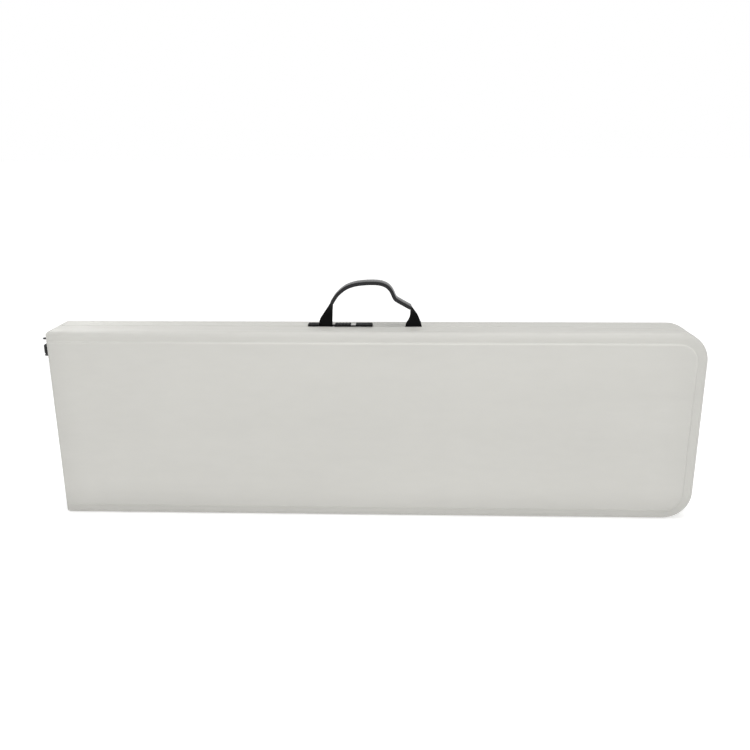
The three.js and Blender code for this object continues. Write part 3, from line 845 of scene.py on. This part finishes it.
# ------------------------------------------------------------------ hinges
def arc2(cx, cy, r, a0, a1, n):
    return [(cx + r * math.cos(math.radians(a0 + (a1 - a0) * i / n)), cy + r * math.sin(math.radians(a0 + (a1 - a0) * i / n))) for i in range(n + 1)]


def ear_outline(where):
    r = EAR_R[where]
    a = math.degrees(math.asin(-3.5 / r))
    pts = arc2(59.5, -22.2, 2.5, -90, 0, 6) + arc2(59.5, -6.0, 2.5, 0, 90, 6)
    if where == "upper":
        pts += arc2(0, 0, r, a, 145.5, 26)
        pts += arc2(3.4 - EAR_REACH, 0, 3.4, 102.3, 257.7, 20)
        pts += arc2(0, 0, r, 214.5, 270, 10)
    else:
        pts += arc2(0, 0, r, a, 270, 48)
    pts += arc2(3.0, -21.7, 3.0, 180, 270, 6)
    return pts


def knuckle_outline(where, less=0.0):
    r = KNUCKLE_R[where] - less
    pts = [(62, 1.2), (62, 3.6), (20.6, 3.6)] + arc2(19, r - 1.0, 1.0, 0, 90, 4)
    pts += arc2(0, 0, r, 90, 360 + math.degrees(math.asin(1.2 / r)), 64)
    return pts


for where, flip in (("lower", False), ("upper", True)):
    def edge(a, b):
        return (H - b, H - a) if flip else (a, b)
    fork = Shape()
    for a, b in ((18.2, 20.0), (42.6, 44.4)):
        lo_z, hi_z = edge(a, b)
        fork.add(prism(ear_outline(where), "z", lo_z, hi_z, 0.35, 3))
    lo_z, hi_z = edge(18.2, 44.4)
    fork.add(rbox(23, 62, -24.7, -23.3, lo_z, hi_z, 0.4, "y", rs=1.5))
    for u in (34, 52):
        z = (lo_z + hi_z) / 2
        fork.add(revolve([(0, 4.6), (0.5, 4.5), (1.3, 3.6), (1.75, 2.0), (1.85, 0.1)], "y", (u, -23.4, z), 28))
    put("hinge_bracket_" + where, fork, M_BLACK_STEEL, "front_half", ["hinge_fork_" + where], 32)
    lo_z, hi_z = edge(27.5, 42.3)
    # the barrel steps down to a smaller boss at its inner end
    boss, full = (2.9, 11.4) if where == "upper" else (0.0, 14.8)
    block = Shape().add(prism(knuckle_outline(where), "z", hi_z - full, hi_z, 0.9, 4))
    if boss:
        block.add(prism(knuckle_outline(where, 2.6), "z", lo_z + 0.9, hi_z - full + 1.2, 0.5, 3))
    for u in (34, 52):
        block.add(revolve([(0, 4.4), (0.4, 4.3), (1.1, 3.5), (1.5, 2.0), (1.6, 0.1)], "y", (u, 3.5, (lo_z + hi_z) / 2), 28))
    put("hinge_block_" + where, block, M_BLACK, "back_half", ["hinge_knuckle_" + where], 32)
    lo_z, hi_z = edge(20.3, 27.2)
    r = BUSH_R[where]
    h = hi_z - lo_z
    put("hinge_washer_" + where, Shape().add(revolve([(0.2, 4.5), (0, 4.8), (0, r - 0.7), (0.2, r - 0.2), (0.7, r), (h / 2 - 0.7, r), (h / 2 - 0.3, r - 0.4), (h / 2 + 0.3, r - 0.4), (h / 2 + 0.7, r), (h - 0.7, r), (h - 0.2, r - 0.2), (h, r - 0.7), (h, 4.8), (h - 0.2, 4.5)], "z", (0, 0, lo_z), 48, closed=True)), M_BUSH, "front_half", ["hinge_bush_" + where], 32)
    lo_z, hi_z = edge(16.5, 46.1)
    h = hi_z - lo_z
    put("hinge_rivet_" + where, Shape().add(revolve([(0.0, 0.1), (0.05, 2.2), (0.35, 4.4), (0.85, 5.6), (1.3, 6.0), (1.5, 5.8), (1.5, 3.9), (h - 1.5, 3.9), (h - 1.5, 5.8), (h - 1.3, 6.0), (h - 0.85, 5.6), (h - 0.35, 4.4), (h - 0.05, 2.2), (h, 0.1)], "z", (0, 0, lo_z), 32)), M_ZINC, "front_half", ["hinge_pin_" + where], 32)

# ------------------------------------------------------------------ slide latch
house = Shape()
house.add(rbox(363.8, 455, 4.3, 10.6, H - 0.9, H + 0.3, 0.15, "z"))
for a, b in ((363.8, 378.8), (431.6, 455)):
    house.add(rbox(a, b, 0.8, 10.6, H - 0.9, H + 2.0, 0.3, "z"))
    if a < 400:
        house.add(rbox(a, b, -3.5, 10.6, H + 0.3, H + 3.1, 0.55, "z", rs=1.3, k=5))
    else:
        house.add(rbox(442, b, -3.5, 10.6, H + 0.3, H + 3.1, 0.55, "z", rs=1.3, k=5))
        house.add(rbox(a, 444, -3.5, 10.6, H + 1.9, H + 3.1, 0.5, "z", rs=1.0, k=5))
        house.add(rbox(a, 444, -3.5, 0.4, H + 0.3, H + 3.0, 0.3, "z", rs=0.5))
        house.add(rbox(a, 444, 9.4, 10.6, H - 0.2, H + 3.0, 0.3, "z", rs=0.5))
house.add(rbox(401.4, 455, -3.5, 2.2, H + 0.2, H + 0.8, 0.12, "z", rs=0.4))
house.add(rbox(401.4, 455, 0.8, 2.2, H - 0.9, H + 0.5, 0.12, "z", rs=0.4))
house.add(rbox(401.4, 455, -3.5, -2.5, H + 0.2, H + 1.4, 0.25, "x", rs=0.3))
for a, b in ((401.4, 405.6), (418.6, 425.2)):
    house.add(rbox(a, b, 1.2, 6, H - 0.9, H + 0.3, 0.1, "z"))
ob = build("latch_cover", house, M_BLACK, 32)
cut = Shape()
for u in LATCH_SCREW_U:
    cut.add(revolve([(0, 3.5), (1.2, 3.5), (1.6, 3.9), (4, 4.0)], "z", (u, LATCH_SCREW_Y, H + 1.7), 32))
mod_ob = build("latch_cover_cut", cut, M_BLACK)
finish_boolean(ob, mod_ob, sharp=32, use_self=True)
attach(ob, "back_half")
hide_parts("latch_housing")
for n, u in ((1, LATCH_SCREW_U[0]), (2, LATCH_SCREW_U[1])):
    put_screw("latch_screw_%d" % n, "z", (u, LATCH_SCREW_Y, H + 1.95), 10.5, 3.1, 1.0, 1.5, 1, "back_half", turn=0.5 + n, metal=M_BLACK_STEEL)
bolt = Shape()
bolt.add(rbox(402.6, 433.8, 1.2, 8.8, H + 0.9, H + 1.7, 0.2, "z", rs=1.2))
bolt.add(rbox(406, 413, 2.6, 6.0, H - 7.2, H + 1.5, 0.3, "z"))
bolt.add(rbox(406, 429.9, 2.6, 6.0, H - 7.2, H - 4.4, 0.5, "x", rs=0.6))
put("latch_slide_bar", bolt, M_ZINC, "latch", ["latch_bolt"], 32)
knob = Shape()
knob.add(rbox(401.7, 424.6, -3.3, 10.4, H + 1.95, H + 2.65, 0.3, "z", rs=1.2))
for i in range(5):
    a = 403.0 + 4.6 * i
    knob.add(prism([(-3.2, H + 2.3), (10.3, H + 2.3), (10.3, H + 2.85), (9.9, H + 3.1), (-2.8, H + 3.1), (-3.2, H + 2.85)], "x", a, a + 2.2, 0.22, 2))
knob.add(rbox(401.7, 424.6, -3.3, -2.3, H + 1.5, H + 2.6, 0.3, "x", rs=0.35))
knob.add(rbox(401.7, 424.6, 9.2, 10.4, H + 0.6, H + 2.6, 0.3, "x", rs=0.35))
put("latch_thumb_piece", knob, M_BLACK, "latch", ["latch_knob"], 32)
plate = build("latch_strike_plate", Shape().add(rbox(431, 433, -14.1, 8.2, H - 9.1, H - 2.5, 0.25, "x", rs=0.8)), M_ZINC, 32)
finish_boolean(plate, build("latch_plate_cut", Shape().add(rbox(429, 435, 1.9, 6.8, H - 7.9, H - 3.7, 0.1, "x", rs=0.6)), M_ZINC), sharp=32)
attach(plate, "front_half")
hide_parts("latch_catch")

# ------------------------------------------------------------------ rails, tracks, legs and braces
def edge_z(where, a, b):
    return (a, b) if where == "lower" else (H - b, H - a)


def bead(points, r, n=8, ripple=0.16, pitch=1.1):
    """Weld bead along a closed run of points, with the small ripples of the arc."""
    P = [Vector(q) for q in points]
    m = len(P)
    mid = sum(P, Vector()) / m
    cum = [0.0]
    for a, b in zip(P, P[1:]):
        cum.append(cum[-1] + (b - a).length)
    rings = []
    for i, q in enumerate(P):
        t = (P[(i + 1) % m] - P[i - 1]).normalized()
        out = (q - mid)
        out = (out - t * out.dot(t)).normalized()
        w = t.cross(out)
        rr = r * (1 + ripple * math.cos(TAU * cum[i] / pitch))
        rings.append([tuple(q + out * (rr * math.cos(TAU * s / n)) + w * (rr * math.sin(TAU * s / n))) for s in range(n)])
    return loft(rings, closed=True)


def saddle(axis, r, big, n=96):
    """Curve where a tube of radius r meets a round bar of radius big; returns (offset along the tube's axis, cos part, sin part)."""
    out = []
    for i in range(n):
        a = TAU * i / n
        c, q = r * math.cos(a), r * math.sin(a)
        out.append((math.sqrt(max(0.0, big * big - c * c)), c, q))
    return out


for side, back in (("front", False), ("back", True)):
    half = side + "_half"
    for where in ("lower", "upper"):
        z0, z1 = edge_z(where, 20.3, 42.3)
        zc = (z0 + z1) / 2
        w, h = 19.0, 22.0
        outer, inner = rrect(w, h, 2.2, 5), rrect(w - 2.4, h - 2.4, 1.2, 5)
        ends = [(23.0, 0.25), (23.15, 0.06), (23.4, 0.0), (885.6, 0.0), (885.85, 0.06), (886.0, 0.25)]
        rings = []
        for u, inset in ends:
            k_ = (w - 2 * inset) / w
            rings.append([(u, -13.5 + a * k_, zc + b * k_) for a, b in outer])
        rings.append([(886.0, -13.5 + a, zc + b) for a, b in inner])
        rings.append([(885.0, -13.5 + a, zc + b) for a, b in inner])
        rings.append([(24.0, -13.5 + a, zc + b) for a, b in inner])
        rings.append([(23.0, -13.5 + a, zc + b) for a, b in inner])
        rail = Shape().add(loft(rings, closed=True))
        holes = Shape().add(cyl("z", (PIVOT_U, -AXLE_E, z0 - 2), h + 4, 4.5, 28))
        for u in (120, 760):
            holes.add(cyl("y", (u, -24, zc), 3.2, 2.1, 24)).add(cyl("y", (u, -6.5, zc), 4, 4.4, 32))
        # drain holes and punched cable-tie holes along the rail's open side
        for u in (250, 440, 630):
            holes.add(cyl("y", (u, -6.5, zc), 4, 3.0, 28))
        put("%s_side_rail_%s" % (side, where), rail, M_STEEL, half, ["%s_rail_%s" % (side, where)], 30, back, [holes])
        for n, u in ((1, 120), (2, 760)):
            put_screw("%s_rail_%s_screw_%d" % (side, where, n), "y", (u, -21.5, zc), 5.9, 3.8, 2.3, 1.7, 1, half, back, turn=0.4 + n + (z0 > 100))

    # guide track: shallow channel with rolled lips, riveted to the panel
    fl = -D / 2 + PANEL + 0.3
    t0, t1 = MID - 14.6, MID + 14.6
    ch = [(fl, t0 + 0.8), (fl + 0.25, t0 + 0.25), (fl + 0.8, t0), (fl + 6.0, t0), (fl + 6.3, t0 + 0.3), (fl + 6.4, t0 + 0.8), (fl + 6.1, t0 + 1.6), (fl + 5.6, t0 + 1.9), (fl + 1.6, t0 + 1.9), (fl + 1.05, t0 + 2.2), (fl + 0.9, t0 + 2.8)]
    ch = ch + [(y, 2 * MID - z) for y, z in reversed(ch)]
    track = Shape().add(prism(list(reversed(ch)), "x", 266, 600, 0.15, 1))
    for q in (-1, 1):
        a = MID + q * 13.6
        track.add(rbox(594, 642, fl, fl + 3.0, a - 1, a + 1, 0.5, "z", rs=0.9))
    for u in (276, 384, 492, 590):
        for dz in ((-8, 8) if u in (276, 590) else (0,)):
            track.add(revolve([(0, 3.6), (0.35, 3.5), (0.9, 2.6), (1.15, 1.2), (1.2, 0.1)], "y", (u, fl + 0.8, MID + dz), 24))
    if back:
        track = track.mirror()
        put(side + "_guide_channel", track, M_STEEL, half, [side + "_brace_track"], 32)
    else:
        put(side + "_guide_channel", track, M_STEEL, half, [side + "_brace_track"], 32)

    axle = [(17.4, 0.1), (17.45, 3.2), (17.7, 5.2), (18.2, 6.3), (18.8, 6.5), (19.6, 6.5), (19.8, 6.3), (19.8, 4.0)]
    axle += [(H - 19.8, 4.0), (H - 19.8, 6.3), (H - 19.6, 6.5), (H - 18.8, 6.5), (H - 18.2, 6.3), (H - 17.7, 5.2), (H - 17.45, 3.2), (H - 17.4, 0.1)]
    put(side + "_pivot_rod", Shape().add(revolve(axle, "z", (PIVOT_U, -AXLE_E, 0), 36)), M_ZINC, half, [side + "_leg_axle"], 30, back)

    # folding leg
    leg = side + "_leg"
    put(side + "_pivot_sleeve", Shape().add(tube("z", (PIVOT_U, -AXLE_E, 43), H - 86, 10, 5.35, 48, 0.6)), M_STEEL, leg, [side + "_leg_sleeve"], 32, back)
    for where, z in (("lower", LEG_Z), ("upper", H - LEG_Z)):
        leg_tube = Shape().add(tube("x", (FOOT_U + 3.6, -AXLE_E, z), PIVOT_U - 6 - FOOT_U - 3.6, 10, 1.6, 48, 0.4))
        leg_tube.add(bead([(PIVOT_U - o - 0.3, -AXLE_E + c, z + q) for o, c, q in saddle("x", 9.9, 10.0)], 1.15))
        put("%s_leg_tube_%s" % (side, where), leg_tube, M_STEEL, leg, ["%s_leg_%s" % (side, where)], 40, back)
        cap = [(0, 0.1), (0, 7.2), (0.25, 9.0), (1.0, 10.6), (2.2, 11.4), (4.6, 11.4), (5.0, 11.0), (5.8, 11.0), (6.2, 11.4), (8.2, 11.4), (8.6, 11.0), (9.4, 11.0), (9.8, 11.4), (11.8, 11.4), (12.2, 11.0), (13.0, 11.0), (13.4, 11.4), (22.8, 11.4), (23.6, 11.15), (24, 10.7), (24, 10.35), (23.7, 10.2), (3.3, 10.2), (3.1, 9.0), (3.1, 0.1)]
        foot = Shape().add(revolve(cap, "x", (FOOT_U, -AXLE_E, z), 48))
        for i in range(3):
            r = 2.6 + 2.0 * i
            foot.add(revolve([(0.1, r - 0.35), (-0.35, r - 0.2), (-0.35, r + 0.2), (0.1, r + 0.35), (0.4, r)], "x", (FOOT_U, -AXLE_E, z), 48, closed=True))
        put("%s_foot_cap_%s" % (side, where), foot, M_RUBBER, leg, ["%s_foot_%s" % (side, where)], 32, back)
    bar = Shape().add(tube("z", (BAR_U, -AXLE_E, LEG_Z + 6), H - 2 * LEG_Z - 12, 8, 1.5, 44, 0.4))
    for z, q in ((LEG_Z, 1), (H - LEG_Z, -1)):
        bar.add(bead([(BAR_U + c, -AXLE_E + s_, z + q * (o + 0.3)) for o, c, s_ in saddle("z", 7.9, 10.0)], 1.1))
    put(side + "_cross_tube", bar, M_STEEL, leg, [side + "_leg_crossbar"], 40, back)

    # brace: tube, sleeve round the cross tube and weld between them
    arm = side + "_brace"
    rod = Shape().add(tube("x", (GLIDE_U + 11, -AXLE_E, MID), BAR_U - 8 - GLIDE_U - 11, 7, 1.4, 44, 0.4))
    rod.add(revolve([(0.3, 8.6), (0, 8.9), (0, 10.4), (0.4, 10.8), (23.6, 10.8), (24, 10.4), (24, 8.9), (23.7, 8.6)], "z", (BAR_U, -AXLE_E, MID - 12), 48, closed=True))
    rod.add(bead([(BAR_U - o - 0.3, -AXLE_E + c, MID + q) for o, c, q in saddle("x", 6.9, 10.8)], 1.0))
    put(side + "_brace_tube", rod, M_STEEL, arm, [arm], 40, back)
    glide = Shape().add(revolve([(0, 0.1), (0, 6.5), (0.2, 8.4), (0.8, 9.6), (1.8, 10), (9.0, 10), (9.6, 9.5), (12.4, 9.5), (13.0, 10), (20.2, 10), (21.2, 9.6), (21.8, 8.4), (22, 6.5), (22, 0.1)], "z", (GLIDE_U, -AXLE_E, MID - 11), 48))
    glide.add(revolve([(4, 5.1), (10.6, 5.1), (10.6, 6.9), (10.9, 7.0), (12.4, 7.0), (12.7, 6.9), (12.7, 5.1), (29.6, 5.1), (30, 4.7), (30, 0.1)], "x", (GLIDE_U, -AXLE_E, MID), 40))
    glide.add(revolve([(-0.5, 0.1), (-0.5, 1.2), (0.05, 2.6), (0.4, 2.6)], "z", (GLIDE_U, -AXLE_E, MID - 11), 24))
    put(side + "_glide_shoe", glide, M_BLACK, arm, [side + "_brace_glide"], 32, back)

    # lock ring with turned grip bands
    prof = [(0.4, 7.5), (0, 7.9), (0, 9.4), (0.8, 10.2), (5.0, 10.2)]
    for i in range(9):
        a = 6.0 + i * 2.0
        prof += [(a, 10.2), (a + 0.35, 9.75), (a + 0.85, 9.75), (a + 1.2, 10.2)]
    prof += [(25.2, 10.2), (29.2, 10.2), (30, 9.4), (30, 7.9), (29.6, 7.5)]
    put(side + "_lock_collar", Shape().add(revolve(prof, "x", (BAR_U - 62, -AXLE_E, MID), 48, closed=True)), M_ZINC, side + "_ring", [side + "_lock_ring"], 30, back)

# ------------------------------------------------------------------ camera, floor and light
cam_data = bpy.data.cameras.new("camera")
cam = bpy.data.objects.new("camera", cam_data)
bpy.context.scene.collection.objects.link(cam)
bpy.context.scene.camera = cam
cam_data.sensor_width = 36.0
cam_data.sensor_fit = "HORIZONTAL"
cam_data.lens = 792.83 / 750 * 36.0
cam_data.clip_start, cam_data.clip_end = 0.01, 100
yaw, pitch, roll = (math.radians(a) for a in (-2.0589, 16.5547, -0.2972))
fwd = Vector((math.sin(yaw) * math.cos(pitch), math.cos(yaw) * math.cos(pitch), -math.sin(pitch)))
right = Vector((math.cos(yaw), -math.sin(yaw), 0))
up = right.cross(fwd)
r2 = right * math.cos(roll) + up * math.sin(roll)
u2 = up * math.cos(roll) - right * math.sin(roll)
rot = Matrix((r2, u2, -fwd)).transposed()
cam.matrix_world = Matrix.Translation(Vector(((497.61 + HX) / 1000, -1.09315, 0.53037))) @ rot.to_4x4()


def plane(name, size, loc, mat):
    me = bpy.data.meshes.new(name)
    s = size / 2
    me.from_pydata([(-s, -s, 0), (s, -s, 0), (s, s, 0), (-s, s, 0)], [], [(0, 1, 2, 3)])
    me.materials.append(mat)
    ob = bpy.data.objects.new(name, me)
    ob.location = loc
    bpy.context.scene.collection.objects.link(ob)
    return ob


k = Nodes("studio_floor")
away = k.n("ShaderNodeVectorMath", operation="LENGTH")
k.link(k.n("ShaderNodeTexCoord").outputs["Object"], away.inputs[0])
grit = k.range(k.noise(90, 4, 0.6), 0.3, 0.7, 0.86, 0.94)
# painted light: the floor glows, less near the table as a painted soft shadow and brighter further out
k.put(Base_Color=(0.80, 0.80, 0.80), Roughness=grit, IOR=1.3, Emission_Color=(1, 1, 1), Emission_Strength=k.range(away.outputs["Value"], 0.55, 2.2, 0.42, 0.66))
floor = plane("studio_floor", 40, (0, 0, 0), k.m)

WORLD_UP = 0.42
world = bpy.data.worlds.new("studio")
bpy.context.scene.world = world
world.use_nodes = True
wt = world.node_tree
geo = wt.nodes.new("ShaderNodeTexCoord")
sep = wt.nodes.new("ShaderNodeSeparateXYZ")
ramp = wt.nodes.new("ShaderNodeValToRGB")
wt.links.new(geo.outputs["Generated"], sep.inputs[0])
wt.links.new(sep.outputs[2], ramp.inputs[0])
ramp.color_ramp.elements[0].position, ramp.color_ramp.elements[0].color = 0.24, (1, 1, 1, 1)
ramp.color_ramp.elements[1].position, ramp.color_ramp.elements[1].color = 0.60, (WORLD_UP, WORLD_UP, WORLD_UP, 1)
wt.links.new(ramp.outputs[0], wt.nodes["Background"].inputs[0])
wt.nodes["Background"].inputs[1].default_value = 1.0


def softbox(name, loc, target, size, power, colour=(1, 1, 1)):
    d = bpy.data.lights.new(name, "AREA")
    d.shape = "RECTANGLE"
    d.size, d.size_y = size
    d.energy = power
    d.color = colour
    ob = bpy.data.objects.new(name, d)
    bpy.context.scene.collection.objects.link(ob)
    ob.location = loc
    ob.rotation_mode = "QUATERNION"
    ob.rotation_quaternion = (Vector(target) - Vector(loc)).to_track_quat("-Z", "Y")
    return ob


softbox("overhead", (0.25, -0.30, 1.75), (0.05, 0.0, 0.25), (1.9, 0.7), 16.6)
softbox("front_key", (0.45, -1.55, 1.35), (0.10, 0.0, 0.15), (1.1, 0.7), 6.0)
softbox("left_top", (-0.60, 0.20, 0.62), (-0.46, 0.0, 0.27), (0.22, 0.18), 0.95)
bpy.context.scene.view_settings.view_transform = "Standard"
bpy.context.scene.view_settings.look = "None"
